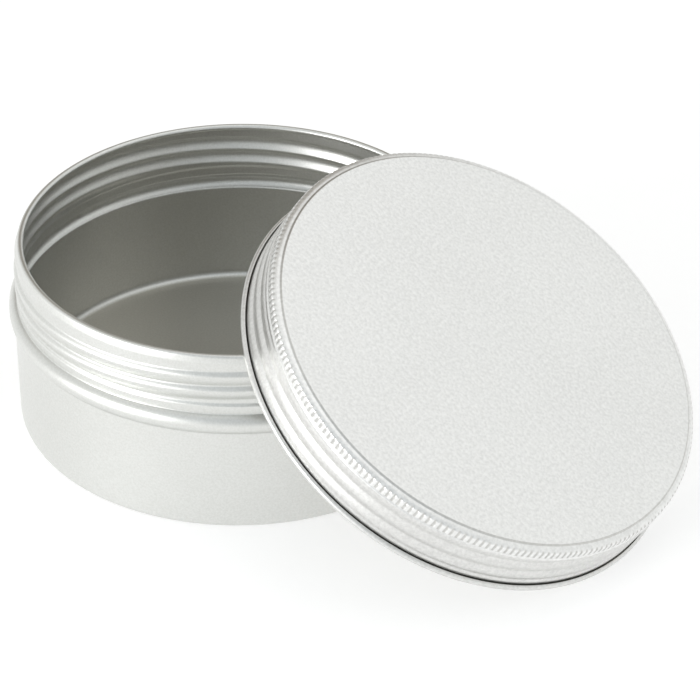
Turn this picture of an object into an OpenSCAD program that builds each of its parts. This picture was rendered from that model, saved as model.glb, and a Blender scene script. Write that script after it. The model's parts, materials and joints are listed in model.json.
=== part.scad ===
// A seamless screw-top aluminium candle tin, empty, with its lid taken off and leaned on the rim.
// Millimetres. The origin is the centre of the tin's base, +Z is up and the lid leans at +X.

/* [Tin] */
// Outside diameter of the plain wall
wall_d = 81.2; // [50:0.1:130]
// Height from the base to the top of the rim
tin_h = 35; // [28:0.1:90]
// Thickness of the aluminium sheet
sheet_t = 0.35; // [0.25:0.05:0.5]
// Outside radius between the base and the wall
tin_corner_r = 1.2; // [0.8:0.1:3]

/* [Rim] */
// How far the rim sits inside the wall's outer face
rim_in = 1.15; // [1:0.05:1.5]
// Thickness of the curled edge
rim_curl_d = 1.2; // [0.9:0.05:1.5]

/* [Stop bead] */
// How far the bead stands out from the wall
bead_out = 0.9; // [0.6:0.05:1.5]
// Drop from the top of the rim to the middle of the bead
neck_h = 13.2; // [12.4:0.1:20]
// Radius of the bead's section
bead_round = 1.95; // [1.8:0.05:2.4]

/* [Screw thread] */
// How far the bottom of the thread sits inside the wall's outer face
root_in = 0.95; // [0.9:0.05:1.2]
// Height of the rolled thread
thread_h = 0.45; // [0.3:0.05:0.6]
// Distance between neighbouring threads, along the axis
thread_pitch = 2.9; // [2.6:0.1:3.4]
// Number of thread starts
thread_starts = 2; // [1:1:3]
// Width of one rolled thread
thread_w = 2.3; // [1.8:0.1:2.5]
// Drop from the top of the rim to a thread's middle, at the thread's starting angle
thread_drop = 4.8; // [4:0.1:6]
// Angle round the tin at which the thread starts
thread_angle = -86; // [-180:1:180]
// How far the plain band above the bead stands out from the thread's bottom
band_out = 0.4; // [0.2:0.05:0.5]

/* [Lid] */
// Radial gap between the tin's thread and the inside of the lid's skirt
thread_gap = 0.2; // [0.15:0.05:0.5]
// Depth of the thread groove rolled into the skirt
groove_h = 0.45; // [0.3:0.05:0.5]
// Width of the groove
groove_w = 1.2; // [1:0.1:1.4]
// Angle round the lid at which the groove starts
groove_angle = -80; // [-180:1:180]
// How far the lip stands out from the skirt
lip_out = 0.85; // [0.6:0.05:1.2]
// Thickness of the curled lip
lip_curl_d = 1.3; // [1:0.05:1.6]
// Gap between the lip and the bead when the lid is screwed on
lip_bead_gap = 0.95; // [0.5:0.05:2]
// Outside radius between the lid's top and its side
lid_corner_r = 1.4; // [1:0.1:1.8]

/* [Grip] */
// Number of grip ribs round the lid
rib_count = 230; // [60:2:260]
// Height of a rib
rib_h = 0.2; // [0.1:0.05:0.3]
// Length of the straight part of the ribs
rib_len = 1.2; // [0.8:0.1:2]

/* [Liner] */
// Thickness of the foam sealing disc
liner_t = 1; // [0.6:0.1:1.5]
// Gap between the disc and the lid's top
liner_gap = 0.1; // [0.05:0.05:0.3]
// How far the disc reaches past the middle of the rim's curl
liner_past_rim = 0.75; // [0.5:0.05:0.9]

/* [Leaning lid] */
// Distance from the tin's wall to the middle of the curl that the lid stands on
foot_out = 41.1; // [34:0.1:60]
// Gap left between the lid and the rim that it leans on
rest_gap = 0.1; // [0.05:0.05:0.3]

/* [Hidden] */

aluminium = [0.84, 0.85, 0.85];
foam = [0.95, 0.95, 0.93];

$fn = 96;
arc_steps = 8;
curl_facets = 32;
thread_segs = 72;
row_h = 0.6;
// Neighbouring bands of one sheet overlap by this height, and one stands this far inside the other's faces
lap = 0.1;
join_inset = 0.01;

wall_r = wall_d / 2;
rim_curl_r = rim_curl_d / 2;
rim_mid_r = wall_r - rim_in - rim_curl_r;
rim_mid_z = tin_h - rim_curl_r;
bead_z = tin_h - neck_h;
bead_mid_r = wall_r + bead_out - bead_round;
root_r = wall_r - root_in;
crest_r = root_r + thread_h;
band_r = root_r + band_out;

// Half the bead's height where it meets a cylinder of radius r
function bead_reach(r, round) = sqrt(pow(round, 2) - pow(r - bead_mid_r, 2));

// The neck's sleeve keeps clear of the bead below it and of the curl above it
above_bead = 0.3;
below_curl = 0.2;
neck_low = bead_z + bead_reach(band_r, bead_round) + above_bead;
neck_high = tin_h - rim_curl_d - below_curl;
// The plain band's face runs into the thread's bottom over the last part of its height
band_h = 1.9;
band_blend = 1;
band_top = neck_low + band_h;
// The thread's ends fade out this far from the ends of the neck's sleeve
thread_low_end = 1.2;
thread_high_end = 1;
thread_fade = 1;
thread_low = neck_low + thread_low_end;
thread_high = neck_high - thread_high_end;

lip_curl_r = lip_curl_d / 2;
skirt_in_r = crest_r + thread_gap;
skirt_r = skirt_in_r + sheet_t;
lip_mid_r = skirt_r + lip_out - lip_curl_r;
// The ribs' crests stay this far inside the skirt's face
rib_inset = 0.05;
shoulder_r = skirt_r - rib_h - rib_inset;
// Height of the rim's top inside the screwed-on lid, from the lip's lower edge
seat_h = neck_h - bead_reach(band_r, bead_round) - lip_bead_gap;
lid_h = seat_h + liner_t + liner_gap + sheet_t;
above_lip = 0.4;
skirt_low = lip_curl_d + above_lip;
rib_high = lid_h - lid_corner_r;
skirt_high = rib_high - rib_len;
// The groove's ends fade out this far from the ends of the skirt's sleeve
groove_low_end = 0.5;
groove_high_end = 0.7;
groove_fade = 0.8;
groove_low = skirt_low + groove_low_end;
groove_high = skirt_high - groove_high_end;
// Height of the groove's middle at its starting angle
groove_start_h = 4.3;

liner_r = rim_mid_r + liner_past_rim;
liner_chamfer = 0.7;

foot_x = wall_r + foot_out;
// The search for the lid's tilt halves the range between nearly level and nearly upright
nearly_level = 2;
nearly_upright = 80;
tilt_steps = 40;
// Angle between the points on the rim at which the clearance is taken
rim_step = 0.25;
lid_tilt = lean_tilt(nearly_level, nearly_upright, tilt_steps);
lid_axis = [sin(lid_tilt), 0, cos(lid_tilt)];
lip_middle = [foot_x - lip_mid_r * cos(lid_tilt), 0, lip_curl_r + lip_mid_r * sin(lid_tilt)];
lid_place = lip_middle - lip_curl_r * lid_axis;

// Points on an arc, from angle a0 to angle a1
function arc(mid, r, a0, a1) =
    [for (i = [0:arc_steps]) let (a = a0 + (a1 - a0) * i / arc_steps) mid + r * [cos(a), sin(a)]];

// 0 below 0, 1 above 1, and a smooth rise between
function smooth_step(t) = let (c = max(0, min(1, t))) c * c * (3 - 2 * c);

// A rounded ridge of height 1, at a distance from its middle
function ridge(distance, width) = abs(distance) < width / 2 ? (1 + cos(360 * distance / width)) / 2 : 0;

// The ridge of a helix that passes height start_z at angle start_a, fading out at both ends
function helix_ridge(a, z, start_a, start_z, width, low, high, fade) =
    let (
        turns = (z - start_z) / thread_pitch - thread_starts * (a - start_a) / 360,
        from_mid = (turns - round(turns)) * thread_pitch,
        mid_z = z - from_mid
    )
    ridge(from_mid, width) * smooth_step((mid_z - low) / fade) * smooth_step((high - mid_z) / fade);

// Outer radius of the tin's neck
function neck_r(a, z) =
    let (
        start_z = tin_h - thread_drop,
        band = band_out * smooth_step((band_top - z) / band_blend),
        thread = helix_ridge(a, z, thread_angle, start_z, thread_w, thread_low, thread_high, thread_fade)
    )
    root_r + band + thread_h * thread;

// Outer radius of the lid's skirt
function lid_skirt_r(a, z) =
    let (
        groove = helix_ridge(
            a, z, groove_angle, groove_start_h, groove_w, groove_low, groove_high, groove_fade
        )
    )
    skirt_r - groove_h * groove;

// How far a chord of the faceted sleeves stays inside its circle
function sag(r) = r * (1 - cos(180 / thread_segs));

// Clearance between the rim's curl and the lid at this tilt, negative when they overlap
function lean_clearance(tilt) =
    min([for (a = [0:rim_step:90]) let (
            along = foot_x - rim_mid_r * cos(a),
            up = rim_mid_z - lip_curl_r,
            height_in_lid = up * cos(tilt) - along * sin(tilt),
            from_axis = norm([along * cos(tilt) + up * sin(tilt) - lip_mid_r, rim_mid_r * sin(a)]),
            through_wall = height_in_lid > 0 && from_axis > lip_mid_r,
            from_lip = norm([from_axis - lip_mid_r, height_in_lid]),
            to_lip = (through_wall ? -from_lip : from_lip) - lip_curl_r,
            to_liner = seat_h - lip_curl_r - height_in_lid
        ) min(to_lip, to_liner) - rim_curl_r]);

// The tilt at which the lid rests on the rim
function lean_tilt(low, high, steps) =
    let (middle = (low + high) / 2)
    steps == 0 ? middle
    : lean_clearance(middle) > rest_gap ? lean_tilt(low, middle, steps - 1)
    : lean_tilt(middle, high, steps - 1);

// A sleeve of sheet metal from outer rings of points and their radii
module sleeve(heights, radii) {
    rows = len(heights);
    outer = [for (i = [0:rows - 1]) for (j = [0:thread_segs - 1])
        let (a = 360 * j / thread_segs, r = radii[i][j] - join_inset) [r * cos(a), r * sin(a), heights[i]]];
    inner = [for (i = [0:rows - 1]) for (j = [0:thread_segs - 1])
        let (a = 360 * j / thread_segs, r = radii[i][j] - sheet_t + sag(radii[i][j]) + join_inset)
        [r * cos(a), r * sin(a), heights[i]]];
    count = rows * thread_segs;
    function at(i, j) = i * thread_segs + j % thread_segs;
    side = [for (i = [0:rows - 2]) for (j = [0:thread_segs - 1])
        [[at(i, j), at(i + 1, j), at(i + 1, j + 1)], [at(i, j), at(i + 1, j + 1), at(i, j + 1)]]];
    outer_faces = [for (pair = side) for (f = pair) f];
    inner_faces = [for (f = outer_faces) [f[2] + count, f[1] + count, f[0] + count]];
    low_ring = [for (j = [0:thread_segs - 1]) [at(0, j), at(0, j + 1), at(0, j + 1) + count, at(0, j) + count]];
    last = rows - 1;
    high_ring = [for (j = [0:thread_segs - 1])
        [at(last, j) + count, at(last, j + 1) + count, at(last, j + 1), at(last, j)]];
    polyhedron(concat(outer, inner), concat(outer_faces, inner_faces, low_ring, high_ring), convexity = 6);
}

// Evenly spaced heights
function row_heights(low, high) =
    let (rows = ceil((high - low) / row_h)) [for (i = [0:rows]) low + (high - low) * i / rows];

module neck_sleeve() {
    heights = row_heights(neck_low, neck_high);
    sleeve(heights, [for (z = heights) [for (j = [0:thread_segs - 1]) neck_r(360 * j / thread_segs, z)]]);
}

module skirt_sleeve() {
    heights = row_heights(skirt_low, skirt_high);
    sleeve(heights, [for (z = heights) [for (j = [0:thread_segs - 1]) lid_skirt_r(360 * j / thread_segs, z)]]);
}

// Half section of one face of the tin, from the base's middle up to the neck, set in by the sheet
function cup_section(inset) =
    let (
        round = bead_round - inset,
        lower = asin((bead_mid_r - wall_r + inset) / round),
        upper = asin((bead_mid_r - band_r + inset) / round)
    )
    concat(
        [[0, inset]],
        arc([wall_r - tin_corner_r, tin_corner_r], tin_corner_r - inset, -90, 0),
        arc([bead_mid_r, bead_z], round, -90 - lower, 90 + upper),
        [[band_r - inset, neck_low + lap]]
    );

module tin_body() {
    color(aluminium) union() {
        rotate_extrude()
            polygon(concat(cup_section(0), [for (i = [len(cup_section(0)) - 1:-1:0]) cup_section(sheet_t)[i]]));
        neck_sleeve();
        rotate_extrude()
            polygon([
                [root_r, neck_high - lap],
                [rim_mid_r + sheet_t / 2, rim_mid_z],
                [rim_mid_r - sheet_t / 2, rim_mid_z],
                [root_r - sheet_t, neck_high - lap]
            ]);
        translate([0, 0, rim_mid_z])
            rotate_extrude() translate([rim_mid_r, 0]) circle(rim_curl_r, $fn = curl_facets);
    }
}

// Outline of the ribbed band, one point on each crest and each hollow
function rib_outline() =
    [for (i = [0:2 * rib_count - 1])
        let (a = 180 * i / rib_count) (shoulder_r + join_inset + (i % 2) * rib_h) * [cos(a), sin(a)]];

// Half section of the lid's top, from the step above the skirt to the middle
function lid_top_section() =
    concat(
        [[skirt_r, skirt_high - lap], [skirt_r, skirt_high + sheet_t], [shoulder_r, skirt_high + sheet_t]],
        arc([shoulder_r - lid_corner_r, rib_high], lid_corner_r, 0, 90),
        [[0, lid_h], [0, lid_h - sheet_t]],
        arc([shoulder_r - lid_corner_r, rib_high], lid_corner_r - sheet_t, 90, 0),
        [[shoulder_r - sheet_t, skirt_high - lap]]
    );

// The lid, standing on its lip
module lid_upright() {
    union() {
        translate([0, 0, lip_curl_r])
            rotate_extrude() translate([lip_mid_r, 0]) circle(lip_curl_r, $fn = curl_facets);
        translate([0, 0, lip_curl_r])
            rotate_extrude() translate([skirt_in_r, 0]) square([sheet_t, skirt_low + lap - lip_curl_r]);
        skirt_sleeve();
        rotate_extrude() polygon(lid_top_section());
        translate([0, 0, skirt_high + lap])
            linear_extrude(rib_len - 2 * lap) difference() {
                polygon(rib_outline());
                circle(shoulder_r - sheet_t / 2);
            }
    }
}

module lid_shell() {
    color(aluminium) translate(lid_place) rotate([0, lid_tilt, 0]) lid_upright();
}

module lid_liner() {
    color(foam) translate(lid_place) rotate([0, lid_tilt, 0]) translate([0, 0, seat_h])
        rotate_extrude()
            polygon([
                [0, 0],
                [liner_r, 0],
                [liner_r, liner_t - liner_chamfer],
                [liner_r - liner_chamfer, liner_t],
                [0, liner_t]
            ]);
}

tin_body();
lid_shell();
lid_liner();
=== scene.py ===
import json
import math

import bpy
import numpy as np
from mathutils import Matrix, Vector


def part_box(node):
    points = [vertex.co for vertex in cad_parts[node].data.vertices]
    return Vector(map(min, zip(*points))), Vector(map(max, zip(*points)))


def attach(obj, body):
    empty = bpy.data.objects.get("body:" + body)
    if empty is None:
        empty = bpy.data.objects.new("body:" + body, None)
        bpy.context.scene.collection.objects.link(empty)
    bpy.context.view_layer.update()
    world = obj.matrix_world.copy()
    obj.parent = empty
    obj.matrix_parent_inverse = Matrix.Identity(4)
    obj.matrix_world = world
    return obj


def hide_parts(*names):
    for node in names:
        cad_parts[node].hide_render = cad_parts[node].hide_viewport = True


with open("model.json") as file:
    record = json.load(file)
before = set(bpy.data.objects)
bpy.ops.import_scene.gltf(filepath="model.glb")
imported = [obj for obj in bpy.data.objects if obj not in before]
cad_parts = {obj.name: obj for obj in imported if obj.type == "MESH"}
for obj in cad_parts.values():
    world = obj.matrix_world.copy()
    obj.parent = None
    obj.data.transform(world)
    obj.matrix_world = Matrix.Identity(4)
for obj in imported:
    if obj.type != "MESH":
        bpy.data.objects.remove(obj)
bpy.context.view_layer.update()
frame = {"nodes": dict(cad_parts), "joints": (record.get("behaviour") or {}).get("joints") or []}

MM = 0.001

# ---------------------------------------------------------------- the tin's sizes, in millimetres

SHEET = 0.35
TIN_CORNER = 1.2
INNER_CORNER = 1.3
RIM_CURL_R = 0.6
RIM_CURL_START = 12       # degrees above level at which the neck's outer face meets the curl
BEAD_OUT = 0.9
BEAD_ROUND = 1.95
NECK_DROP = 13.2          # from the rim's top to the bead's middle
RIM_IN = 1.15
ROOT_IN = 0.95
BAND_OUT = 0.4
BAND_H = 2.0
BAND_BLEND = 0.7          # height over which the plain band's face runs into the thread's bottom

THREAD_H = 0.45           # height that the lid leaves room for
THREAD_RISE = 0.58        # how far the rolled crests stand out in the middle of their length
THREAD_CREST = 0.66       # the crest lies above the middle of each thread
VALLEY_ROUND = 0.2        # how rounded the valleys between threads are
THREAD_PITCH = 2.9
THREAD_STARTS = 2
THREAD_DROP = 4.8
THREAD_ANGLE = math.radians(-86)
THREAD_LOW_END = 1.2      # the thread's ends fade out this far from the ends of the neck
THREAD_HIGH_END = 0.8
THREAD_FADE = 1.2
ABOVE_BEAD = 0.15
BELOW_CURL = 0.2

# ---------------------------------------------------------------- the lid's sizes, in millimetres

LIP_CURL_R = 0.65
LIP_OUT = 0.85
LIP_SLOT = 0.24           # width of the open slit between the curled lip and the skirt
LIP_SLOT_LOW = 0.5        # height of the middle of the slit's rounded bottom
LIP_EDGE_R = 0.1          # round of the sheet's edge at the slit
LIP_EDGE_DROP = 0.04
THREAD_GAP = 0.2
SKIRT_LOW = 1.75
GROOVE_H = 0.3
GROOVE_START_H = 4.3
GROOVE_ANGLE = math.radians(-80)
GROOVE_FADE = 0.9

CORNER_R = 1.4
BEND_R = 0.836            # round between the ribbed band and the ring below the flat top
BEND_END = math.radians(70)
RIB_COUNT = 230
RIB_H = 0.2
RIB_RISE = 0.19           # how far the ribs' crests stand out; the gaps stay at the shoulder
RIB_LEN = 1.2
RIB_LOW_FADE = 0.25
RIB_HIGH_END = 0.72       # the ribs fade out this far up the bend
RIB_HIGH_FADE = 0.3

# distance out from the flat's edge and drop below the flat: a sloping ring, then a small step
RING_AND_STEP = (
    (0.85, 0.36), (0.65, 0.30), (0.48, 0.275), (0.38, 0.25), (0.3, 0.19), (0.22, 0.11),
    (0.14, 0.04), (0.06, 0.006), (-0.04, 0),
)
RING_DROP = RING_AND_STEP[0][1]

LINER_CHAMFER = 0.7
LINER_EDGE_R = 0.1
PRINT_DEPTH = 0.12        # the shallow print of a rim in the foam
PRINT_HALF = 0.9

# ---------------------------------------------------------------- fineness of the meshes

TIN_SEGMENTS = 360
LID_SEGMENTS = 460
LINER_SEGMENTS = 180
RIB_POINTS = 6            # mesh points across one rib and its gap
ROW = 0.14                # height of a mesh row on the threads, in millimetres

# ---------------------------------------------------------------- places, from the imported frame

tin_high = np.array(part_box("tin_body")[1]) / MM
TIN_H = tin_high[2]
WALL_R = round(tin_high[0] - BEAD_OUT, 1)
BEAD_Z = TIN_H - NECK_DROP
BEAD_MID_R = WALL_R + BEAD_OUT - BEAD_ROUND
ROOT_R = WALL_R - ROOT_IN
BAND_R = ROOT_R + BAND_OUT
RIM_MID_R = WALL_R - RIM_IN - RIM_CURL_R
RIM_MID_Z = TIN_H - RIM_CURL_R
NECK_LOW = BEAD_Z + math.sqrt(BEAD_ROUND ** 2 - (BAND_R - BEAD_MID_R) ** 2) + ABOVE_BEAD
NECK_HIGH = TIN_H - 2 * RIM_CURL_R - BELOW_CURL

spin = next(joint for joint in frame["joints"] if joint["name"] == "lid_spin")
lid_axis = Vector(spin["axis"])
lid_side = Vector((lid_axis.z, 0, -lid_axis.x))
lid_matrix = Matrix((
    (lid_side.x, 0, lid_axis.x, spin["pos_m"][0]),
    (0, 1, 0, spin["pos_m"][1]),
    (lid_side.z, 0, lid_axis.z, spin["pos_m"][2]),
    (0, 0, 0, 1),
))


def extent_along_lid(node):
    """A CAD node's lowest and highest point along the lid's axis, and its reach from it, in millimetres."""
    points = [lid_matrix.inverted() @ v.co for v in frame["nodes"][node].data.vertices]
    heights = [p.z / MM for p in points]
    return min(heights), max(heights), max(math.hypot(p.x, p.y) / MM for p in points)


LID_H = extent_along_lid("lid_shell")[1]
SEAT_H, LINER_TOP, LINER_R = extent_along_lid("lid_liner")
SKIRT_R = ROOT_R + THREAD_H + THREAD_GAP + SHEET
LIP_MID_R = SKIRT_R + LIP_OUT - LIP_CURL_R
SHOULDER_R = SKIRT_R - RIB_H - 0.05
FLAT_R = SHOULDER_R - CORNER_R
RIB_LOW = LID_H - CORNER_R - RIB_LEN
BEND_LOW = LID_H - RING_DROP - BEND_R * math.sin(BEND_END)

# ---------------------------------------------------------------- camera

CAMERA_SIDE = math.radians(-56.34)
CAMERA_UP = math.radians(34.14)
CAMERA_DISTANCE = 506.3 * MM
CAMERA_TARGET = Vector((16.55, 11.02, 9.92)) * MM
CAMERA_ROLL = math.radians(0.6)
LENS = 142.4


def make_camera():
    back = Vector((
        math.cos(CAMERA_SIDE) * math.cos(CAMERA_UP),
        math.sin(CAMERA_SIDE) * math.cos(CAMERA_UP),
        math.sin(CAMERA_UP),
    ))
    level = Vector((-math.sin(CAMERA_SIDE), math.cos(CAMERA_SIDE), 0))
    upright = back.cross(level)
    right = level * math.cos(CAMERA_ROLL) + upright * math.sin(CAMERA_ROLL)
    up = back.cross(right)
    data = bpy.data.cameras.new("camera")
    data.lens = LENS
    data.sensor_width = 36
    data.clip_start = 0.01
    data.clip_end = 50
    camera = bpy.data.objects.new("camera", data)
    camera.matrix_world = Matrix((
        (right.x, up.x, back.x, 0),
        (right.y, up.y, back.y, 0),
        (right.z, up.z, back.z, 0),
        (0, 0, 0, 1),
    ))
    camera.location = CAMERA_TARGET + back * CAMERA_DISTANCE
    bpy.context.scene.collection.objects.link(camera)
    bpy.context.scene.camera = camera


# ---------------------------------------------------------------- sections, rings and skins


def smooth_step(t):
    c = np.clip(t, 0, 1)
    return c * c * (3 - 2 * c)


def arc(middle, radius, start, end, steps):
    """Points on an arc in the section plane, angles in degrees."""
    angles = np.radians(np.linspace(start, end, steps + 1))
    return [(middle[0] + radius * math.cos(a), middle[1] + radius * math.sin(a)) for a in angles]


def line(start, end, steps):
    way = np.array(end) - np.array(start)
    return [tuple(np.array(start) + way * i / steps) for i in range(steps + 1)]


def rounds(count):
    """Angles of the points on a ring."""
    return np.arange(count) * 2 * math.pi / count


def ring(radius, height, count):
    """Points of a ring. The radius may be one number or one for each point."""
    a = rounds(count)
    r = np.broadcast_to(radius, (count,))
    return np.stack([r * np.cos(a), r * np.sin(a), np.broadcast_to(height, (count,))], -1)


def rings_of(section, count):
    """One ring for each point of a section; a point on the axis becomes a single point."""
    return [ring(r, z, count) if r > 1e-6 else np.array([[0, 0, z]]) for r, z in section]


def stitch(low, low_start, high, high_start):
    """Faces between two rings; one's point count is 1, the other's count, or a whole multiple of it."""
    if low == 1:
        return [(low_start, high_start + (i + 1) % high, high_start + i) for i in range(high)]
    if high == 1:
        return [(low_start + i, low_start + (i + 1) % low, high_start) for i in range(low)]
    faces = []
    fewer = min(low, high)
    for i in range(fewer):
        below = [low_start + (i * low // fewer + k) % low for k in range(low // fewer + 1)]
        above = [high_start + (i * high // fewer + k) % high for k in range(high // fewer + 1)]
        faces.append(tuple(below + above[::-1]))
    return faces


def stitch_all(rings, close):
    """Points and faces of a skin through all rings, each ring next to the one before."""
    starts = np.cumsum([0] + [len(r) for r in rings])
    faces = []
    pairs = [(i, i + 1) for i in range(len(rings) - 1)]
    if close:
        pairs.append((len(rings) - 1, 0))
    for i, j in pairs:
        low, high = len(rings[i]), len(rings[j])
        if low == 1 and high == 1:
            continue
        faces += stitch(low, int(starts[i]), high, int(starts[j]))
    return np.concatenate(rings), faces


def make_piece(name, rings, body, material, replaces, matrix=None, close=False):
    """A closed piece turned out of rings, smooth shaded, riding on its CAD body."""
    points, faces = stitch_all(rings, close)
    mesh = bpy.data.meshes.new(name)
    mesh.from_pydata((points * MM).tolist(), [], faces)
    mesh.polygons.foreach_set("use_smooth", [True] * len(mesh.polygons))
    mesh.update()
    mesh.materials.append(material)
    piece = bpy.data.objects.new(name, mesh)
    bpy.context.scene.collection.objects.link(piece)
    if matrix is not None:
        piece.matrix_world = matrix
    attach(piece, body)
    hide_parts(replaces)
    return piece


# ---------------------------------------------------------------- threads


def round_ridge(turns, crest=0.5):
    """Height, 0 to 1, of rounded ridges, one to a turn. Crest is the ridge's place in the turn."""
    up = turns + 0.5 - np.floor(turns + 0.5)
    half = np.where(up < crest, 0.5 * up / crest, 0.5 + 0.5 * (up - crest) / (1 - crest))
    wave = np.sqrt(np.sin(math.pi * half) ** 2 + VALLEY_ROUND ** 2)
    return (wave - VALLEY_ROUND) / (math.sqrt(1 + VALLEY_ROUND ** 2) - VALLEY_ROUND)


def helix_turns(angles, height, start_angle, start_height):
    """How many threads a height lies above the helix, at each angle."""
    along = (height - start_height) / THREAD_PITCH
    return along - THREAD_STARTS * (angles - start_angle) / (2 * math.pi)


def neck_radius(angles, height):
    """Outer radius of the neck: a plain band above the bead, then threads that fade out one by one."""
    turns = helix_turns(angles, height, THREAD_ANGLE, TIN_H - THREAD_DROP)
    middle = height - (turns - np.round(turns)) * THREAD_PITCH
    low = smooth_step((middle - NECK_LOW - THREAD_LOW_END) / THREAD_FADE)
    high = smooth_step((NECK_HIGH - THREAD_HIGH_END - middle) / THREAD_FADE)
    thread = THREAD_RISE * round_ridge(turns, THREAD_CREST) * low * high
    band = BAND_OUT * smooth_step((NECK_LOW + BAND_H - height) / BAND_BLEND)
    return ROOT_R + np.maximum(band, thread)


def skirt_radius(angles, height, inset):
    """The skirt's bands bulge a little between narrow grooves."""
    turns = helix_turns(angles, height, GROOVE_ANGLE, GROOVE_START_H) + 0.5
    low, high = SKIRT_LOW, RIB_LOW - 0.1
    ends = smooth_step((height - low) / GROOVE_FADE) * smooth_step((high - height) / GROOVE_FADE)
    return SKIRT_R - inset - GROOVE_H * (1 - round_ridge(turns)) * ends


# ---------------------------------------------------------------- the tin


def cup_section(inset):
    """One face of the tin from the base's middle up to the neck, set in by the sheet's thickness."""
    bead = BEAD_ROUND - inset
    lower = math.degrees(math.asin((BEAD_MID_R - WALL_R + inset) / bead))
    upper = math.degrees(math.asin((BEAD_MID_R - BAND_R + inset) / bead))
    corner = INNER_CORNER if inset else TIN_CORNER
    flat = WALL_R - inset - corner
    base = [(r, inset) for r in (0, 1, 8, 20, 32, flat - 1.5)]
    bottom = arc((flat, inset + corner), corner, -90, 0, 12)
    wall_top = BEAD_Z - bead * math.cos(math.radians(lower))
    wall = line((WALL_R - inset, inset + corner + 0.4), (WALL_R - inset, wall_top - 0.4), 8)
    ridge = arc((BEAD_MID_R, BEAD_Z), bead, -90 - lower, 90 + upper, 28)
    return base + bottom + wall + ridge


def make_tin(material):
    heights = np.arange(NECK_LOW, NECK_HIGH, ROW)
    angles = rounds(TIN_SEGMENTS)
    outer_neck = [ring(neck_radius(angles, h), h, TIN_SEGMENTS) for h in heights]
    inner_neck = [ring(neck_radius(angles, h) - SHEET, h, TIN_SEGMENTS) for h in heights]
    # the curl meets the neck's inner face in a tight crevice
    inner_r = ROOT_R - SHEET
    meet = math.degrees(math.acos((inner_r - RIM_MID_R) / RIM_CURL_R))
    curl = arc((RIM_MID_R, RIM_MID_Z), RIM_CURL_R, RIM_CURL_START, 360 - meet, 30)
    lean = line((ROOT_R, NECK_HIGH), curl[0], 4)[:-1]
    under = line((inner_r, curl[-1][1] - 0.12), (inner_r, NECK_HIGH), 2)
    rings = (
        rings_of(cup_section(0), TIN_SEGMENTS)
        + outer_neck
        + rings_of(lean + curl + under, TIN_SEGMENTS)
        + inner_neck[::-1]
        + rings_of(cup_section(SHEET)[::-1], TIN_SEGMENTS)
    )
    return make_piece("tin", rings, "tin", material, "tin_body")


# ---------------------------------------------------------------- the lid


def lip_section():
    """The lip rolls out and up, and stops short of the skirt, which leaves a slit, dark from its own shade
    and from shade painted in the lid's material.
    """
    middle = (LIP_MID_R, LIP_CURL_R)
    slot_mid = (SKIRT_R + LIP_SLOT / 2, LIP_SLOT_LOW)
    slot_out = SKIRT_R + LIP_SLOT
    top = 2 * LIP_CURL_R
    return (
        arc(middle, LIP_CURL_R, 180, 270, 8)
        + arc(middle, LIP_CURL_R, 270, 418, 16)[1:]
        + arc((slot_out + LIP_EDGE_R, top - LIP_EDGE_R - LIP_EDGE_DROP), LIP_EDGE_R, 80, 180, 6)
        + line((slot_out, top - 0.4), (slot_out, LIP_SLOT_LOW + 0.1), 2)
        + arc(slot_mid, LIP_SLOT / 2, 0, -180, 6)
        + line((SKIRT_R, LIP_SLOT_LOW + 0.1), (SKIRT_R, SKIRT_LOW - 0.1), 4)
    )


def rib_ring(radius, height, rib_height):
    """A ring of flat-topped ribs, with narrow gaps, that stand out from a radius."""
    count = RIB_COUNT * RIB_POINTS
    phase = (np.arange(count) % RIB_POINTS) / RIB_POINTS
    bars = np.sin(math.pi * phase) ** 0.5
    return ring(radius + rib_height * bars, height, count)


def rib_rings():
    """The ribs run up their band and fade out on the bend."""
    start = RIB_LOW + 0.2
    band = [(SHOULDER_R, h) for h in np.linspace(start + 0.06, BEND_LOW, 9)]
    bend = arc((SHOULDER_R - BEND_R, BEND_LOW), BEND_R, 0, 62, 11)[1:]
    rings = []
    for r, h in band + bend:
        rise = smooth_step((h - start) / RIB_LOW_FADE)
        fall = smooth_step((BEND_LOW + RIB_HIGH_END - h) / RIB_HIGH_FADE)
        rings.append(rib_ring(r, h, RIB_RISE * float(rise * fall)))
    return rings


def lid_underside():
    """The inner face of the lid's top, from its middle to the skirt."""
    corner = (FLAT_R, LID_H - CORNER_R)
    band_r = SHOULDER_R - SHEET
    flat = [(r, LID_H - SHEET) for r in (0, 1, 10, 20, 30, FLAT_R - 0.4)]
    bend = arc(corner, CORNER_R - SHEET, 90, 0, 10)
    band = line((band_r, corner[1] - 0.2), (band_r, RIB_LOW + 0.3), 4)
    return flat + bend + band + [(band_r + 0.02, RIB_LOW + 0.1)]


def make_lid(material):
    angles = rounds(LID_SEGMENTS)
    heights = np.arange(SKIRT_LOW, RIB_LOW - 0.05, ROW)
    outer_skirt = [ring(skirt_radius(angles, h, 0), h, LID_SEGMENTS) for h in heights]
    inner_skirt = [ring(skirt_radius(angles, h, SHEET), h, LID_SEGMENTS) for h in heights]
    step = [
        (SKIRT_R - 0.01, RIB_LOW - 0.02),
        (SKIRT_R - 0.07, RIB_LOW + 0.06),
        (SHOULDER_R + 0.06, RIB_LOW + 0.2),
    ]
    shoulder = [(FLAT_R + out, LID_H - drop) for out, drop in RING_AND_STEP]
    flat = [(r, LID_H) for r in (38, 36, 30, 20, 10, 1, 0)]
    rings = (
        rings_of(lip_section(), LID_SEGMENTS)
        + outer_skirt
        + rings_of(step, LID_SEGMENTS)
        + rib_rings()
        + rings_of(shoulder + flat, LID_SEGMENTS)
        + rings_of(lid_underside(), LID_SEGMENTS)
        + inner_skirt[::-1]
    )
    return make_piece("lid", rings, "lid", material, "lid_shell", lid_matrix, close=True)


# ---------------------------------------------------------------- the liner


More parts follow.
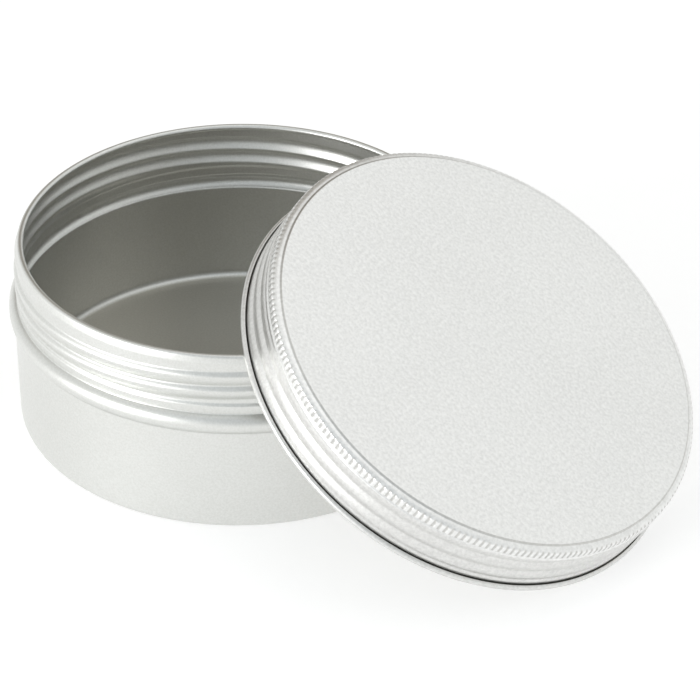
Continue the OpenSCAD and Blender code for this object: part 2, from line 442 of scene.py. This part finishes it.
def make_liner(material):
    """The foam disc, with the shallow print of a rim pressed into it."""
    edge = LINER_R - 0.12
    under = [(r, SEAT_H) for r in (0, 1, 12, 25)]
    for r in np.linspace(RIM_MID_R - PRINT_HALF, min(RIM_MID_R + PRINT_HALF, edge), 13):
        dent = math.cos(math.pi * (r - RIM_MID_R) / (2 * PRINT_HALF)) ** 2
        under.append((r, SEAT_H + PRINT_DEPTH * dent))
    under = [point for point in under if point[0] < edge]
    side = arc((LINER_R - LINER_EDGE_R, SEAT_H + 0.12), LINER_EDGE_R, -90, 0, 4)
    slope = line((LINER_R, LINER_TOP - LINER_CHAMFER), (LINER_R - LINER_CHAMFER, LINER_TOP), 4)
    top = [(r, LINER_TOP) for r in (30, 15, 1, 0)]
    rings = rings_of(under + side + slope + top, LINER_SEGMENTS)
    return make_piece("liner", rings, "liner", material, "lid_liner", lid_matrix)


# ---------------------------------------------------------------- nodes


def new_material(name):
    material = bpy.data.materials.new(name)
    material.use_nodes = True
    tree = material.node_tree
    return material, tree, tree.nodes["Principled BSDF"]


def object_position(tree):
    return tree.nodes.new("ShaderNodeTexCoord").outputs["Object"]


def noise(tree, vector, scale, detail=2.0, roughness=0.5):
    node = tree.nodes.new("ShaderNodeTexNoise")
    node.inputs["Scale"].default_value = scale
    node.inputs["Detail"].default_value = detail
    node.inputs["Roughness"].default_value = roughness
    tree.links.new(vector, node.inputs["Vector"])
    return node.outputs["Fac"]


def stretched(tree, vector, scale):
    node = tree.nodes.new("ShaderNodeVectorMath")
    node.operation = "MULTIPLY"
    node.inputs[1].default_value = scale
    tree.links.new(vector, node.inputs[0])
    return node.outputs[0]


def remap(tree, value, low, high, to_low, to_high):
    node = tree.nodes.new("ShaderNodeMapRange")
    for key, number in (("From Min", low), ("From Max", high), ("To Min", to_low), ("To Max", to_high)):
        node.inputs[key].default_value = number
    tree.links.new(value, node.inputs["Value"])
    return node.outputs["Result"]


def mixed_colour(tree, factor, low, high):
    node = tree.nodes.new("ShaderNodeMix")
    node.data_type = "RGBA"
    node.inputs["A"].default_value = (*low, 1)
    node.inputs["B"].default_value = (*high, 1)
    tree.links.new(factor, node.inputs["Factor"])
    return node.outputs["Result"]


def toned(tree, colour, mask, tone):
    """The colour, multiplied by a tone where the mask is 1."""
    node = tree.nodes.new("ShaderNodeMix")
    node.data_type = "RGBA"
    node.blend_type = "MULTIPLY"
    node.inputs["B"].default_value = (*tone, 1)
    tree.links.new(mask, node.inputs["Factor"])
    tree.links.new(colour, node.inputs["A"])
    return node.outputs["Result"]


def maths(tree, operation, first, second):
    node = tree.nodes.new("ShaderNodeMath")
    node.operation = operation
    for socket, value in zip(node.inputs, (first, second)):
        if isinstance(value, (int, float)):
            socket.default_value = value
        else:
            tree.links.new(value, socket)
    return node.outputs[0]


def weighted(tree, first, share, second):
    """A mix of two values, of which the first has this share."""
    return maths(
        tree, "ADD",
        maths(tree, "MULTIPLY", first, share),
        maths(tree, "MULTIPLY", second, 1 - share),
    )


def bump(tree, height, strength, distance, normal=None):
    node = tree.nodes.new("ShaderNodeBump")
    node.inputs["Strength"].default_value = strength
    node.inputs["Distance"].default_value = distance
    tree.links.new(height, node.inputs["Height"])
    if normal is not None:
        tree.links.new(normal, node.inputs["Normal"])
    return node.outputs["Normal"]


def parts_of(tree, position):
    node = tree.nodes.new("ShaderNodeSeparateXYZ")
    tree.links.new(position, node.inputs[0])
    return node.outputs["X"], node.outputs["Y"], node.outputs["Z"]


def from_axis(tree, position):
    """Distance from the piece's own axis."""
    node = tree.nodes.new("ShaderNodeVectorMath")
    node.operation = "LENGTH"
    tree.links.new(stretched(tree, position, (1, 1, 0)), node.inputs[0])
    return node.outputs["Value"]


def between(tree, value, low, high, soft):
    """1 between two distances in millimetres, 0 outside, with a soft change."""
    rise = remap(tree, value, (low - soft) * MM, (low + soft) * MM, 0, 1)
    fall = remap(tree, value, (high - soft) * MM, (high + soft) * MM, 1, 0)
    return maths(tree, "MULTIPLY", rise, fall)


# ---------------------------------------------------------------- materials

# how strong the painted shade on the lid's metal is in the ribs' gaps, at the top's step and on the skirt,
# next to the slit's 1
RIB_GAP_SHADE = 0.5
STEP_SHADE = 0.5
SKIRT_SHADE = 0.26

GRAIN_DEPTH = 0.03 * MM
STREAK_DEPTH = 0.02 * MM
CELL_DEPTH = 0.1 * MM


def tin_floor_shade(tree, position):
    """Mask of painted shade on the inside of the tin's floor, which is toned darker and browner there."""
    height = parts_of(tree, position)[2]
    inner = between(tree, from_axis(tree, position), -10, WALL_R - TIN_CORNER, 0.4)
    low = between(tree, height, SHEET / 2, 0.6, 0.05)
    return maths(tree, "MULTIPLY", inner, low)


def lid_painted_shade(tree, position):
    """Mask of painted shade: the slit at the lip, the gaps between the ribs, the step round the top and,
    faintly, the skirt.
    """
    x, y, height = parts_of(tree, position)
    out = from_axis(tree, position)
    # painted shade deep in the slit between the lip and the skirt
    slit = maths(
        tree, "MULTIPLY",
        between(tree, out, SKIRT_R - 0.1, SKIRT_R + LIP_SLOT + 0.04, 0.02),
        between(tree, height, 0.3, 1.2, 0.08),
    )
    # painted shade in the gaps between the ribs
    wave = maths(tree, "COSINE", maths(tree, "MULTIPLY", maths(tree, "ARCTAN2", y, x), RIB_COUNT), 0)
    gaps = maths(
        tree, "MULTIPLY",
        remap(tree, wave, -0.2, 0.7, 0, RIB_GAP_SHADE),
        between(tree, height, RIB_LOW + 0.25, LID_H - 0.62, 0.12),
    )
    # painted shade at the step round the top
    step = maths(
        tree, "MULTIPLY",
        between(tree, out, FLAT_R + 0.05, FLAT_R + 0.36, 0.06),
        between(tree, height, LID_H - 0.4, LID_H + 1, 0.05),
    )
    step = maths(tree, "MULTIPLY", step, STEP_SHADE)
    # faint painted shade over the whole skirt
    skirt = maths(tree, "MULTIPLY", between(tree, height, -1, RIB_LOW, 0.1), SKIRT_SHADE)
    return maths(tree, "MAXIMUM", maths(tree, "MAXIMUM", slit, gaps), maths(tree, "MAXIMUM", step, skirt))


def make_aluminium(name, dark, light, rough, grain_size, grain, streaks, shaded, shade):
    """Satin aluminium: frosted grain, drawing streaks along the axis, faint stains, and painted shade in
    the zones that the mask gives.
    """
    material, tree, shader = new_material(name)
    position = object_position(tree)
    fine = noise(tree, position, grain_size, 3, 0.65)
    stains = noise(tree, position, 45, 4, 0.55)
    drawn = noise(tree, stretched(tree, position, (1800, 1800, 40)), 1, 2, 0.5)
    tone = remap(tree, weighted(tree, fine, 0.85, stains), 0.36, 0.64, 0, 1)
    # painted shade: the colour is multiplied by the shade tone where the mask is 1
    colour = toned(tree, mixed_colour(tree, tone, dark, light), shaded(tree, position), shade)
    tree.links.new(colour, shader.inputs["Base Color"])
    wear = weighted(tree, stains, 0.6, drawn)
    tree.links.new(remap(tree, wear, 0.35, 0.65, *rough), shader.inputs["Roughness"])
    normal = bump(tree, fine, grain, GRAIN_DEPTH)
    normal = bump(tree, drawn, streaks, STREAK_DEPTH, normal)
    tree.links.new(normal, shader.inputs["Normal"])
    shader.inputs["Metallic"].default_value = 1.0
    return material


def make_tin_aluminium():
    return make_aluminium(
        "tin_aluminium",
        dark=(0.68, 0.685, 0.66),
        light=(0.75, 0.755, 0.735),
        rough=(0.36, 0.42),
        grain_size=2600,
        grain=0.2,
        streaks=0.1,
        shaded=tin_floor_shade,
        # tone of the painted shade on the tin's inner floor
        shade=(0.78, 0.75, 0.70),
    )


def make_lid_aluminium():
    return make_aluminium(
        "lid_aluminium",
        dark=(0.78, 0.78, 0.77),
        light=(0.93, 0.93, 0.92),
        rough=(0.38, 0.43),
        grain_size=1700,
        grain=0.6,
        streaks=0,
        shaded=lid_painted_shade,
        # tone of the painted shade in the slit, the rib gaps, at the step and on the skirt
        shade=(0.42, 0.41, 0.38),
    )


def make_foam():
    """Closed-cell foam: a matt white with tiny cells."""
    material, tree, shader = new_material("liner_foam")
    position = object_position(tree)
    cells = tree.nodes.new("ShaderNodeTexVoronoi")
    cells.inputs["Scale"].default_value = 2200
    tree.links.new(position, cells.inputs["Vector"])
    stains = noise(tree, position, 120, 3)
    colour = mixed_colour(tree, stains, (0.86, 0.86, 0.83), (0.95, 0.95, 0.93))
    tree.links.new(colour, shader.inputs["Base Color"])
    tree.links.new(remap(tree, stains, 0.3, 0.7, 0.8, 0.95), shader.inputs["Roughness"])
    tree.links.new(bump(tree, cells.outputs["Distance"], 0.5, CELL_DEPTH), shader.inputs["Normal"])
    return material


# ---------------------------------------------------------------- studio

TENT_COLOUR = (0.88, 0.89, 0.88)
# dim openings in the tent: azimuth, elevation, angle to the dim middle's edge, angle where it ends, colour
OPENINGS = (
    (-56, 40, 20, 46, (0.64, 0.67, 0.69)),
    (132, 36, 16, 36, (0.28, 0.25, 0.21)),
)
FLOOR_HALF = 4.0
FLOOR_DROP = 0.1 * MM
FLOOR_GREY = 0.62
FLOOR_GLOW = 0.5
LIGHTS_AIM = Vector((20, 0, 20)) * MM


def make_floor():
    material, _, shader = new_material("floor_white")
    shader.inputs["Base Color"].default_value = (FLOOR_GREY, FLOOR_GREY, FLOOR_GREY, 1)
    shader.inputs["Roughness"].default_value = 0.9
    shader.inputs["Emission Color"].default_value = (1, 1, 1, 1)
    shader.inputs["Emission Strength"].default_value = FLOOR_GLOW
    corners = [(x * FLOOR_HALF, y * FLOOR_HALF, 0) for x, y in ((-1, -1), (1, -1), (1, 1), (-1, 1))]
    mesh = bpy.data.meshes.new("floor")
    mesh.from_pydata(corners, [], [(0, 1, 2, 3)])
    mesh.materials.append(material)
    floor = bpy.data.objects.new("floor", mesh)
    floor.location.z = -FLOOR_DROP
    bpy.context.scene.collection.objects.link(floor)


def towards_point(azimuth, elevation):
    """Unit direction from degrees. Azimuth is in the frame's XY plane, counted from +X."""
    a, e = math.radians(azimuth), math.radians(elevation)
    return Vector((math.cos(a) * math.cos(e), math.sin(a) * math.cos(e), math.sin(e)))


def make_surroundings():
    """A white tent all round, with two dim openings: one in front of the object and one behind."""
    world = bpy.data.worlds.new("studio")
    bpy.context.scene.world = world
    world.use_nodes = True
    tree = world.node_tree
    direction = tree.nodes.new("ShaderNodeTexCoord").outputs["Generated"]
    colour = None
    for azimuth, elevation, inner, outer, dim in OPENINGS:
        facing = tree.nodes.new("ShaderNodeVectorMath")
        facing.operation = "DOT_PRODUCT"
        facing.inputs[1].default_value = towards_point(azimuth, elevation)
        tree.links.new(direction, facing.inputs[0])
        low, high = math.cos(math.radians(outer)), math.cos(math.radians(inner))
        opening = remap(tree, facing.outputs["Value"], low, high, 0, 1)
        if colour is None:
            colour = mixed_colour(tree, opening, TENT_COLOUR, dim)
        else:
            colour = toned(tree, colour, opening, [d / t for d, t in zip(dim, TENT_COLOUR)])
    tree.links.new(colour, tree.nodes["Background"].inputs["Color"])


def make_light(name, azimuth, elevation, distance, width, height, power):
    """A soft box that faces the object."""
    towards = towards_point(azimuth, elevation)
    data = bpy.data.lights.new(name, "AREA")
    data.shape = "RECTANGLE"
    data.size = width
    data.size_y = height
    data.energy = power
    light = bpy.data.objects.new(name, data)
    light.location = LIGHTS_AIM + towards * distance
    light.rotation_euler = towards.to_track_quat("Z", "Y").to_euler()
    bpy.context.scene.collection.objects.link(light)


def make_studio():
    make_surroundings()
    make_floor()
    make_light("overhead", azimuth=60, elevation=70, distance=1.3, width=1.0, height=1.0, power=1.0)
    make_light("left", azimuth=-112, elevation=10, distance=1.2, width=0.6, height=0.4, power=7.0)
    bpy.context.scene.view_settings.view_transform = "Standard"
    bpy.context.scene.view_settings.look = "None"


def main():
    make_camera()
    make_tin(make_tin_aluminium())
    make_lid(make_lid_aluminium())
    make_liner(make_foam())
    make_studio()


main()
